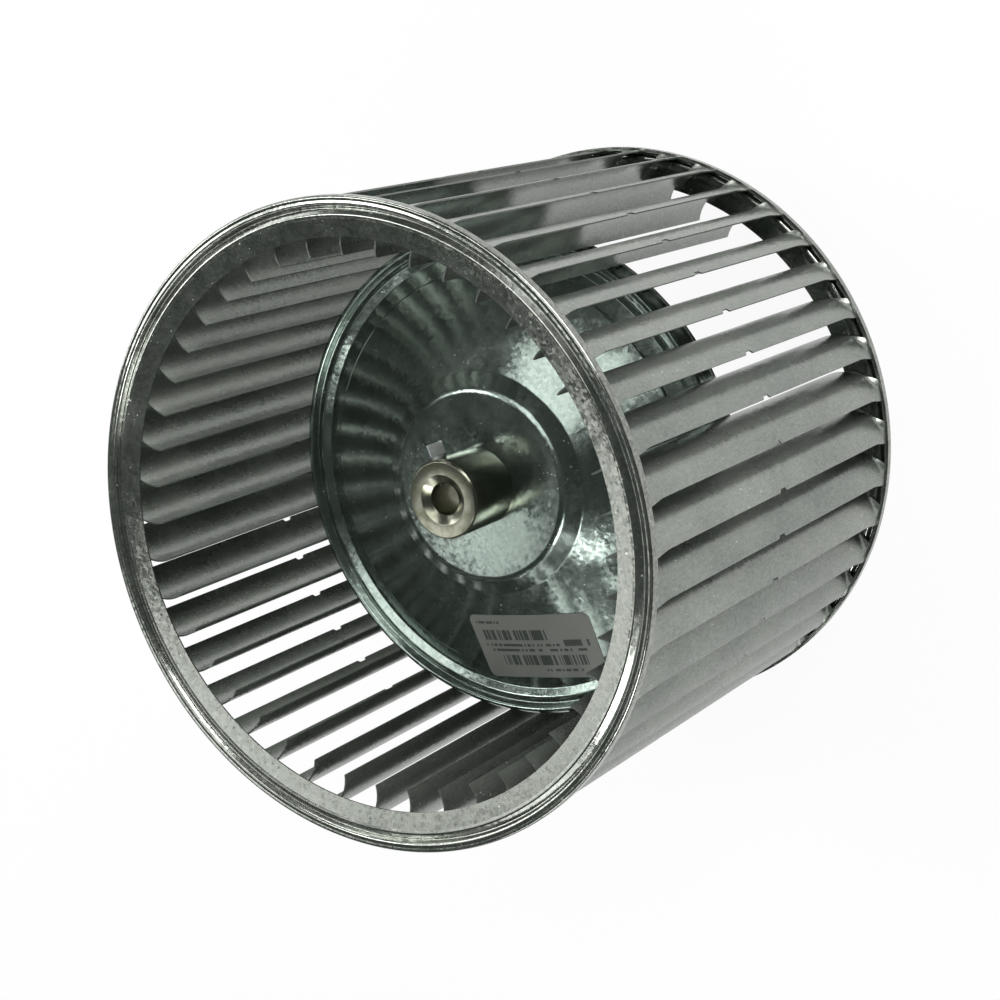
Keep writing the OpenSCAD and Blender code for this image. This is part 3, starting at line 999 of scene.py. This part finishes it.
    def pitch_mesh(self) -> bpy.types.Mesh:
        """Makes one blade with its share of both margins, open where its neighbours join on.

        Returns:
            The mesh of one pitch, with the face attribute cut_edge.
        """
        tab_leans = spread(self.tip_lean, self.split_lean, self.tab_columns)
        leans = tab_leans + spread(self.split_lean, -self.root_lean, self.root_columns)[1:]
        split = self.tab_columns
        next_tip = self.tab_angle(self.tip_lean) + self.pitch
        web = spread(self.tab_angle(self.split_lean), next_tip, self.web_columns)[1:]
        rows = self.heights()
        index: dict[tuple[int, int], int] = {}
        outer: list[Vector] = []
        inner: list[Vector] = []
        for r, (z, kind) in enumerate(rows):
            if kind == "margin":
                angles = [self.tab_angle(lean) for lean in tab_leans] + web
                sides = [[self.margin(a, z, side) for a in angles] for side in (1, -1)]
            else:
                used = list(leans) if kind == "blade" else list(tab_leans)
                used[0] = self.tip_lean_at(z)
                sides = [[self.skin(lean, z, side) for lean in used] for side in (1, -1)]
            for c in range(len(sides[0])):
                index[r, c] = len(outer) + c
            outer += sides[0]
            inner += sides[1]
        faces = []
        for r in range(len(rows) - 1):
            kinds = {rows[r][1], rows[r + 1][1]}
            last = split + self.web_columns if kinds == {"margin"} else split
            last = len(leans) - 1 if kinds == {"blade"} else last
            for c in range(last):
                faces.append((index[r, c], index[r + 1, c], index[r + 1, c + 1], index[r, c + 1]))
        seam = {
            frozenset((index[r, c], index[r + 1, c]))
            for r in (0, len(rows) - 2) for c in (0, split + self.web_columns)
        }
        walls = self._walls(faces, seam, len(outer))
        back = [tuple(len(outer) + i for i in reversed(face)) for face in faces]
        mesh = mesh_from("blade_pitch", outer + inner, faces + back + walls, outwards=False)
        edge = mesh.attributes.new("cut_edge", "FLOAT", "FACE")
        edge.data.foreach_set("value", [0.0] * (2 * len(faces)) + [1.0] * len(walls))
        return mesh

    def _walls(
        self, faces: Sequence[tuple[int, ...]], seam: set[frozenset[int]], shift: int
    ) -> list[tuple[int, ...]]:
        """Closes the free edges of the sheet between its two skins.

        Args:
            faces: Faces of the outer skin.
            seam: Edges that the neighbouring pitches close.
            shift: Number of points in a skin.

        Returns:
            The faces of the cut edges.
        """
        sides = [(face[i], face[(i + 1) % 4]) for face in faces for i in range(4)]
        known = set(sides)
        return [
            (b, a, a + shift, b + shift)
            for a, b in sides if (b, a) not in known and frozenset((a, b)) not in seam
        ]

    def ring_tree(self) -> bpy.types.NodeTree:
        """Builds the node tree that sets the pitches round the axis and joins them.

        Returns:
            The tree, whose inputs are named sizes.
        """
        tree = bpy.data.node_groups.new("blades round the wheel", "GeometryNodeTree")
        sockets = (
            ("Geometry", "NodeSocketGeometry"), ("Blade count", "NodeSocketInt"),
            ("First blade", "NodeSocketFloat"), ("Wave height", "NodeSocketFloat"),
            ("Wave length", "NodeSocketFloat"), ("Seed", "NodeSocketInt"),
            ("Finish", "NodeSocketMaterial"),
        )
        for name, kind in sockets:
            tree.interface.new_socket(name, in_out="INPUT", socket_type=kind)
        tree.interface.new_socket("Geometry", in_out="OUTPUT", socket_type="NodeSocketGeometry")
        given = add_node(tree, "NodeGroupInput").outputs
        number = add_node(tree, "GeometryNodeInputIndex").outputs["Index"]
        step = add_node(
            tree, "ShaderNodeMath", {0: math.tau, 1: given["Blade count"]}, operation="DIVIDE"
        ).outputs["Value"]
        angle = add_node(
            tree, "ShaderNodeMath", {0: number, 1: step, 2: given["First blade"]},
            operation="MULTIPLY_ADD",
        ).outputs["Value"]
        turn = add_node(tree, "ShaderNodeCombineXYZ", {"Z": angle}).outputs["Vector"]
        turned = add_node(tree, "FunctionNodeEulerToRotation", {"Euler": turn}).outputs["Rotation"]
        points = add_node(tree, "GeometryNodePoints", {"Count": given["Blade count"]}).outputs[0]
        pitches = add_node(
            tree, "GeometryNodeInstanceOnPoints",
            {"Points": points, "Instance": given["Geometry"], "Rotation": turned},
        ).outputs["Instances"]
        tone = add_node(
            tree, "FunctionNodeRandomValue", {"ID": number, "Seed": given["Seed"]}, data_type="FLOAT"
        ).outputs[1]
        toned = add_node(
            tree, "GeometryNodeStoreNamedAttribute",
            {"Geometry": pitches, "Name": "blade_tone", "Value": tone},
            data_type="FLOAT", domain="INSTANCE",
        ).outputs["Geometry"]
        real = add_node(tree, "GeometryNodeRealizeInstances", {"Geometry": toned}).outputs["Geometry"]
        joined = add_node(
            tree, "GeometryNodeMergeByDistance", {"Geometry": real, "Distance": self.weld_mm * MM}
        ).outputs["Geometry"]
        place = add_node(tree, "GeometryNodeInputPosition").outputs["Position"]
        scale = add_node(
            tree, "ShaderNodeMath", {0: 1.0, 1: given["Wave length"]}, operation="DIVIDE"
        ).outputs["Value"]
        noise = add_node(
            tree, "ShaderNodeTexNoise",
            {"Vector": place, "Scale": scale, "W": given["Seed"], "Detail": 1.0},
            noise_dimensions="4D",
        ).outputs["Color"]
        centred = add_node(
            tree, "ShaderNodeVectorMath", {0: noise, 1: NO_TILT}, operation="SUBTRACT"
        ).outputs["Vector"]
        flat = add_node(
            tree, "ShaderNodeVectorMath", {0: centred, 1: (1.0, 1.0, 0.0)}, operation="MULTIPLY"
        ).outputs["Vector"]
        wave = add_node(
            tree, "ShaderNodeVectorMath", {0: flat, "Scale": given["Wave height"]}, operation="SCALE"
        ).outputs["Vector"]
        waved = add_node(
            tree, "GeometryNodeSetPosition", {"Geometry": joined, "Offset": wave}
        ).outputs["Geometry"]
        dressed = add_node(
            tree, "GeometryNodeSetMaterial", {"Geometry": waved, "Material": given["Finish"]}
        ).outputs["Geometry"]
        add_node(tree, "NodeGroupOutput", {"Geometry": dressed})
        return tree

    def build(self, material: bpy.types.Material) -> bpy.types.Object:
        """Makes the strip.

        Args:
            material: Finish of the strip.

        Returns:
            The piece.
        """
        tree = self.ring_tree()
        blank = bpy.data.objects.new("blade_pitch", self.pitch_mesh())
        bpy.context.collection.objects.link(blank)
        modifier = blank.modifiers.new("round the wheel", "NODES")
        modifier.node_group = tree
        values = {
            "Blade count": self.blade_count, "First blade": math.radians(self.blade_phase),
            "Wave height": self.wave_mm * MM, "Wave length": self.wave_length_mm * MM,
            "Seed": self.seed, "Finish": material,
        }
        for item in tree.interface.items_tree:
            if item.in_out == "INPUT" and item.name in values:
                modifier[item.identifier] = values[item.name]
        mesh = plain_mesh(blank)
        return finished_piece(
            "blade_strip_sheet", mesh, material, Body.WHEEL, ["blade_strip"], crease=40
        )


def plain_mesh(blank: bpy.types.Object) -> bpy.types.Mesh:
    """Applies the modifiers of a blank and removes it.

    Args:
        blank: Object whose modifiers are all set.

    Returns:
        The evaluated mesh.
    """
    graph = bpy.context.evaluated_depsgraph_get()
    mesh = bpy.data.meshes.new_from_object(blank.evaluated_get(graph), depsgraph=graph)
    blank.modifiers.clear()
    bpy.data.objects.remove(blank)
    return mesh


@dataclass
class Hub:
    """The turned hub, riveted through the disc, with its countersunk bore and radial screw hole."""

    plate_z: float
    disc_t: float
    hub_r: float = 15.4
    hub_h: float = 25.1
    bore_r: float = 6.35
    mouth_r: float = 9.8
    mouth_h: float = 1.8
    spigot_r: float = 12.0
    collar_r: float = 13.75
    collar_h: float = 2.4
    chamfer: float = 0.7
    edge_r: float = 0.25
    screw_inset: float = 7.2
    screw_angle: float = 106.0
    screw_hole_r: float = 3.225
    segments: int = 160
    edge_steps: int = 3
    drill_segments: int = 64

    @property
    def top_z(self) -> float:
        """Height of the hub's front face."""
        return self.plate_z + self.hub_h

    def screw_frame(self) -> Matrix:
        """Returns the place of the screw's axis in millimetres, with its local Z pointing outwards."""
        lift = Matrix.Translation((0, 0, self.top_z - self.screw_inset))
        turn = Matrix.Rotation(math.radians(self.screw_angle), 4, "Z")
        return lift @ turn @ Matrix.Rotation(math.pi / 2, 4, "Y")

    def outline(self) -> list[Vector]:
        """Draws the section of the hub, from the bore's rear edge and round outside.

        Returns:
            Closed outline, as radius and height.
        """
        back_z = self.plate_z - self.disc_t
        collar_z = back_z - self.collar_h
        corners = [
            (self.bore_r, self.plate_z),
            (self.bore_r, collar_z),
            (self.collar_r - self.chamfer, collar_z),
            (self.collar_r, collar_z + self.chamfer),
            (self.collar_r, back_z),
            (self.spigot_r, back_z),
            (self.spigot_r, self.plate_z),
            (self.hub_r, self.plate_z),
            (self.hub_r, self.top_z - self.chamfer),
            (self.hub_r - self.chamfer, self.top_z),
            (self.mouth_r, self.top_z),
            (self.bore_r, self.top_z - self.mouth_h),
            (self.bore_r, self.plate_z + self.edge_r),
        ]
        return rounded_path(corners, self.edge_r, self.edge_steps)

    def build(self, material: bpy.types.Material) -> bpy.types.Object:
        """Makes the hub.

        Args:
            material: Finish of the hub.

        Returns:
            The piece.
        """
        blank = bpy.data.objects.new("hub_blank", lathed("hub_blank", self.outline(), self.segments))
        bpy.context.collection.objects.link(blank)
        drill_mesh = bpy.data.meshes.new("hub_drill")
        drill_shape = bmesh.new()
        length = 2 * self.hub_r
        bmesh.ops.create_cone(
            drill_shape, cap_ends=True, segments=self.drill_segments, depth=length * MM,
            radius1=self.screw_hole_r * MM, radius2=self.screw_hole_r * MM,
        )
        place = self.screw_frame() @ Matrix.Translation((0, 0, length / 2))
        metres = Matrix.Scale(MM, 4) @ place @ Matrix.Scale(1 / MM, 4)
        drill_shape.transform(metres)
        drill_shape.to_mesh(drill_mesh)
        drill_shape.free()
        drill = bpy.data.objects.new("hub_drill", drill_mesh)
        bpy.context.collection.objects.link(drill)
        cut = blank.modifiers.new("screw hole", "BOOLEAN")
        cut.operation = "DIFFERENCE"
        cut.solver = "EXACT"
        cut.object = drill
        mesh = plain_mesh(blank)
        bpy.data.objects.remove(drill)
        return finished_piece("hub_turning", mesh, material, Body.WHEEL, ["hub"])


@dataclass
class SetScrew:
    """The square head set screw, with its chamfered tip and rolled thread."""

    place: Matrix
    tip_r: float = 7.15
    screw_r: float = 3.175
    screw_l: float = 9.3
    tip_chamfer: float = 1.0
    head_w: float = 6.35
    head_h: float = 5.0
    head_turn: float = 42.0
    thread_pitch: float = 1.27
    thread_depth: float = 0.65
    flank_slope: float = 2.6
    root_share: float = 0.15
    run_out: float = 0.8
    run_out_gap: float = 0.4
    corner_share: float = 1.38
    under_inset: float = 0.12
    under_bevel: float = 0.15
    flat_end: float = 1.6
    top_bevel: float = 1.2
    bevel_rows: int = 6
    row_h: float = 0.12
    around: int = 64

    def thread_r(self, height: float, turn: float) -> float:
        """Returns the thread's radius at a height and a turn, in radians."""
        phase = (height / self.thread_pitch - turn / math.tau) % 1
        flank = clamped(abs(phase - 0.5) * self.flank_slope - self.root_share)
        fade = smooth((self.screw_l - self.run_out_gap - height) / self.run_out)
        return self.screw_r - self.thread_depth * (1 - flank) * fade

    def head_r(self, height: float, turn: float) -> float:
        """Returns the head's radius at a height over its underside and a turn, in radians."""
        half = self.head_w / 2
        local = (turn - math.radians(self.head_turn) + math.pi / 4) % (math.pi / 2) - math.pi / 4
        square = half / math.cos(local)
        bevel = half * (math.sqrt(2) - 1) / 2
        corner = half * self.corner_share
        cone = half + bevel + (self.head_h - height)
        return min(square, corner, cone)

    def rings(self) -> list[list[Vector]]:
        """Lists the rings of points from the tip to the head's top.

        Returns:
            Rings with the same number of points, in the screw's own frame.
        """
        turns = [math.tau * k / self.around for k in range(self.around)]
        sections: list[tuple[float, list[float]]] = []
        small = self.screw_r - self.tip_chamfer
        for height in spread(0, self.tip_chamfer, self.bevel_rows):
            chamfer_r = mix(small, self.screw_r, height / self.tip_chamfer)
            sections.append((height, [min(chamfer_r, self.thread_r(height, t)) for t in turns]))
        steps = round((self.screw_l - self.tip_chamfer) / self.row_h)
        for height in spread(self.tip_chamfer, self.screw_l, steps)[1:]:
            sections.append((height, [self.thread_r(height, t) for t in turns]))
        bevel = spread(self.head_h - self.top_bevel, self.head_h, self.bevel_rows)
        for height in (0.0, self.under_bevel, self.head_h - self.flat_end, *bevel):
            inset = self.under_inset if height == 0 else 0.0
            sections.append((self.screw_l + height, [self.head_r(height, t) - inset for t in turns]))
        return [
            [Vector((r * math.cos(t), r * math.sin(t), height)) for r, t in zip(radii, turns)]
            for height, radii in sections
        ]

    def build(self, material: bpy.types.Material) -> bpy.types.Object:
        """Makes the set screw.

        Args:
            material: Finish of the screw.

        Returns:
            The piece.
        """
        rings = self.rings()
        place = self.place @ Matrix.Translation((0, 0, self.tip_r))
        points = [place @ p for ring in rings for p in ring]
        count = self.around
        faces: list[tuple[int, ...]] = [
            (r * count + i, r * count + (i + 1) % count,
             (r + 1) * count + (i + 1) % count, (r + 1) * count + i)
            for r in range(len(rings) - 1) for i in range(count)
        ]
        faces.append(tuple(reversed(range(count))))
        faces.append(tuple((len(rings) - 1) * count + i for i in range(count)))
        mesh = mesh_from("set_screw_turning", points, faces)
        return finished_piece(
            "set_screw_turning", mesh, material, Body.SCREW, ["set_screw"], crease=30
        )


@dataclass
class Label:
    """The paper label glued to the cone, with rounded corners."""

    disc: CentreDisc
    width: float = 55.5
    height: float = 29.0
    sheet_t: float = 0.15
    glue_gap: float = 0.05
    corner_r: float = 3.0
    overhang: float = 9.0
    shift: float = 7.9
    turn: float = 2.0
    columns: int = 56
    rows: int = 36

    def build(self, material: bpy.types.Material) -> bpy.types.Object:
        """Makes the label.

        Args:
            material: Finish of the label.

        Returns:
            The piece.
        """
        reach = self.disc.cone_out_r + self.overhang
        side = self.width / 2 + self.shift
        middle_y = -(math.sqrt(reach ** 2 - side ** 2) - self.height / 2)
        turned = math.radians(self.turn)
        flat: list[tuple[float, float]] = []
        for v in spread(-1, 1, self.rows):
            up = math.sin(v * math.pi / 2) * self.height / 2
            over = max(0.0, abs(up) - (self.height / 2 - self.corner_r))
            inset = self.corner_r - math.sqrt(max(0.0, self.corner_r ** 2 - over ** 2))
            flat += [(s * (self.width / 2 - inset), up) for s in spread(-1, 1, self.columns)]
        points = []
        for layer in (0, 1):
            for across, up in flat:
                x = self.shift + across * math.cos(turned) - up * math.sin(turned)
                y = middle_y + across * math.sin(turned) + up * math.cos(turned)
                z = self.disc.cone_face_z(math.hypot(x, y)) + self.glue_gap + layer * self.sheet_t
                points.append(Vector((x, y, z)))
        mesh = mesh_from("label_paper_sheet", points, self._faces(len(flat)))
        layer = mesh.uv_layers.new(name="label")
        for loop in mesh.loops:
            across, up = flat[loop.vertex_index % len(flat)]
            layer.data[loop.index].uv = (across / self.width + 0.5, up / self.height + 0.5)
        return finished_piece(
            "label_paper_sheet", mesh, material, Body.WHEEL, ["label"], crease=60
        )

    def _faces(self, shift: int) -> list[tuple[int, ...]]:
        """Lists the faces of the paper's two sides and its edge.

        Args:
            shift: Number of points on one side.

        Returns:
            The faces.
        """
        wide = self.columns + 1
        under = [
            (r * wide + c, r * wide + c + 1, (r + 1) * wide + c + 1, (r + 1) * wide + c)
            for r in range(self.rows) for c in range(self.columns)
        ]
        over = [tuple(i + shift for i in reversed(face)) for face in under]
        rim = list(range(wide)) + [r * wide + self.columns for r in range(1, self.rows + 1)]
        rim += [self.rows * wide + c for c in range(self.columns - 1, -1, -1)]
        rim += [r * wide for r in range(self.rows - 1, 0, -1)]
        edge = [(a, b, b + shift, a + shift) for a, b in zip(rim, rim[1:] + rim[:1])]
        return under + over + edge


@dataclass(frozen=True)
class Softbox:
    """A square white area lamp that faces the wheel, with its distance and size in metres."""

    name: str
    azimuth: float
    elevation: float
    distance: float
    size: float
    radiance: float

    def build(self, target: Vector) -> bpy.types.Object:
        """Makes the lamp.

        Args:
            target: Point that the lamp faces, in metres.

        Returns:
            The lamp.
        """
        lamp = bpy.data.lights.new(self.name, "AREA")
        lamp.shape = "SQUARE"
        lamp.size = self.size
        lamp.energy = self.radiance * WATTS_PER_RADIANCE * self.size ** 2
        turn, rise = math.radians(self.azimuth), math.radians(self.elevation)
        away = Vector((math.cos(turn) * math.cos(rise), math.sin(turn) * math.cos(rise), math.sin(rise)))
        box = bpy.data.objects.new(self.name, lamp)
        box.location = target + away * self.distance
        box.rotation_euler = away.to_track_quat("Z", "Y").to_euler()
        bpy.context.collection.objects.link(box)
        return box


@dataclass
class Studio:
    """Camera, lamps, surroundings and the pale floor that the wheel stands on."""

    target: Vector
    camera_place: tuple[float, float, float] = (456.5, 142.2, 773.45)
    camera_right: tuple[float, float, float] = (0.83118, -0.12289, -0.54225)
    camera_up: tuple[float, float, float] = (0.0, 0.97527, -0.22102)
    focal_px: float = 2079.23
    frame_px: float = 1000.0
    sensor_mm: float = 36.0
    clip_start: float = 0.01
    clip_end: float = 50.0
    floor_size: float = 12.0
    floor_drop: float = 0.1
    floor_glow: float = 0.94
    floor_paint: str = "#e7e7e7"
    ceiling: str = "#434a46"
    horizon: str = "#f0f1f0"
    horizon_top: float = 0.01
    ceiling_start: float = 0.07
    boxes: tuple[Softbox, ...] = (
        Softbox("upper right softbox", 52, 22, 2.0, 1.0, 8.0),
        Softbox("upper softbox", 108, 14, 2.0, 0.75, 4.0),
        Softbox("upper left softbox", 163, 31, 2.0, 0.8, 5.2),
        Softbox("lower right softbox", 287, 48, 2.0, 0.6, 8.5),
        Softbox("lower softbox", 262, 31, 2.0, 0.75, 2.5),
        Softbox("overhead softbox", 98, 69, 2.0, 0.95, 2.6),
        Softbox("overhead left panel", 154, 54, 2.0, 0.45, 9.0),
        Softbox("upper left panel", 138, 22, 2.0, 0.5, 2.5),
        Softbox("near panel", 206.5, 54, 0.39, 0.075, 1.9),
    )

    def camera(self) -> None:
        """Makes the camera at the photograph's place and angle."""
        lens = bpy.data.cameras.new("camera")
        lens.sensor_width = self.sensor_mm
        lens.lens = self.focal_px / self.frame_px * self.sensor_mm
        lens.clip_start = self.clip_start
        lens.clip_end = self.clip_end
        eye = bpy.data.objects.new("camera", lens)
        right, up = Vector(self.camera_right), Vector(self.camera_up)
        back = right.cross(up)
        turn = Matrix((right, up, back)).transposed()
        eye.matrix_world = Matrix.Translation(Vector(self.camera_place) * MM) @ turn.to_4x4()
        bpy.context.collection.objects.link(eye)
        bpy.context.scene.camera = eye

    def surroundings(self) -> None:
        """Sets the room: pale along the horizon, as the sweep rises there, under a dim ceiling."""
        world = bpy.data.worlds.new("room")
        world.use_nodes = True
        tree = world.node_tree
        tree.nodes.clear()
        towards = add_node(tree, "ShaderNodeTexCoord").outputs["Generated"]
        rise = add_node(tree, "ShaderNodeSeparateXYZ", {"Vector": towards}).outputs["Z"]
        share = add_node(
            tree, "ShaderNodeMapRange",
            {"Value": rise, "From Min": self.horizon_top, "From Max": self.ceiling_start},
            interpolation_type="SMOOTHSTEP",
        ).outputs["Result"]
        colour = mixed_colour(tree, share, linear(self.horizon), linear(self.ceiling))
        room = add_node(tree, "ShaderNodeBackground", {"Color": colour}).outputs["Background"]
        add_node(tree, "ShaderNodeOutputWorld", {"Surface": room})
        bpy.context.scene.world = world

    def floor(self) -> None:
        """Lays the pale floor, which glows white for the camera and keeps the wheel's shadow."""
        material, tree = new_material("white sweep")
        rays = add_node(tree, "ShaderNodeLightPath").outputs
        shown = rays["Is Camera Ray"]
        for kind in ("Is Glossy Ray", "Is Transmission Ray"):
            shown = add_node(
                tree, "ShaderNodeMath", {0: shown, 1: rays[kind]}, operation="MAXIMUM"
            ).outputs["Value"]
        paint = linear(self.floor_paint)
        matt = add_node(tree, "ShaderNodeBsdfDiffuse", {"Color": paint}).outputs["BSDF"]
        white = add_node(tree, "ShaderNodeEmission", {"Strength": 1.0}).outputs["Emission"]
        share = add_node(
            tree, "ShaderNodeMath", {0: shown, 1: self.floor_glow}, operation="MULTIPLY"
        ).outputs["Value"]
        both = add_node(tree, "ShaderNodeMixShader", {"Fac": share, 1: matt, 2: white}).outputs["Shader"]
        add_node(tree, "ShaderNodeOutputMaterial", {"Surface": both})
        mesh = bpy.data.meshes.new("floor")
        half = self.floor_size / 2
        corners = [(-half, -half, 0), (half, -half, 0), (half, half, 0), (-half, half, 0)]
        mesh.from_pydata(corners, [], [(0, 1, 2, 3)])
        mesh.materials.append(material)
        ground = bpy.data.objects.new("floor", mesh)
        ground.location.z = -self.floor_drop * MM
        bpy.context.collection.objects.link(ground)

    def build(self) -> None:
        """Sets the whole studio."""
        self.camera()
        self.surroundings()
        self.floor()
        for box in self.boxes:
            box.build(self.target)
        bpy.context.scene.view_settings.view_transform = "Standard"


def corners_of(node: str) -> tuple[Vector, Vector]:
    """Returns the lowest and the highest corner of a solid, in millimetres."""
    low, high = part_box(node)
    return Vector(low) / MM, Vector(high) / MM


def main() -> None:
    """Builds the wheel piece by piece, then the studio round it."""
    logging.basicConfig(level=logging.INFO, format="%(message)s")
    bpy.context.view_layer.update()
    ring_top = corners_of("front_ring")[1]
    disc_high = corners_of("centre_disc")[1]
    ring = EndRing(outer_r=ring_top.x, wheel_w=ring_top.z)
    disc = CentreDisc(rim_r=disc_high.x - CentreDisc.sheet_t / 2, plate_z=disc_high.z)
    hub = Hub(plate_z=disc.plate_z, disc_t=disc.sheet_t)
    ring_finish = RING_SHEET.material()
    BladeStrip(wheel_r=ring.outer_r, wheel_w=ring.wheel_w).build(BLADE_SHEET.material())
    ring.build("front_ring_sheet", "front_ring", True, ring_finish)
    ring.build("rear_ring_sheet", "rear_ring", False, ring_finish)
    disc.build(DISC_SHEET.material())
    hub.build(HUB_ZINC.material())
    SetScrew(place=hub.screw_frame()).build(SCREW_ZINC.material())
    Label(disc=disc).build(LABEL_PAPER.material())
    Studio(target=Vector((0, 0, ring.wheel_w / 2 * MM))).build()


if __name__ == "__main__":
    main()
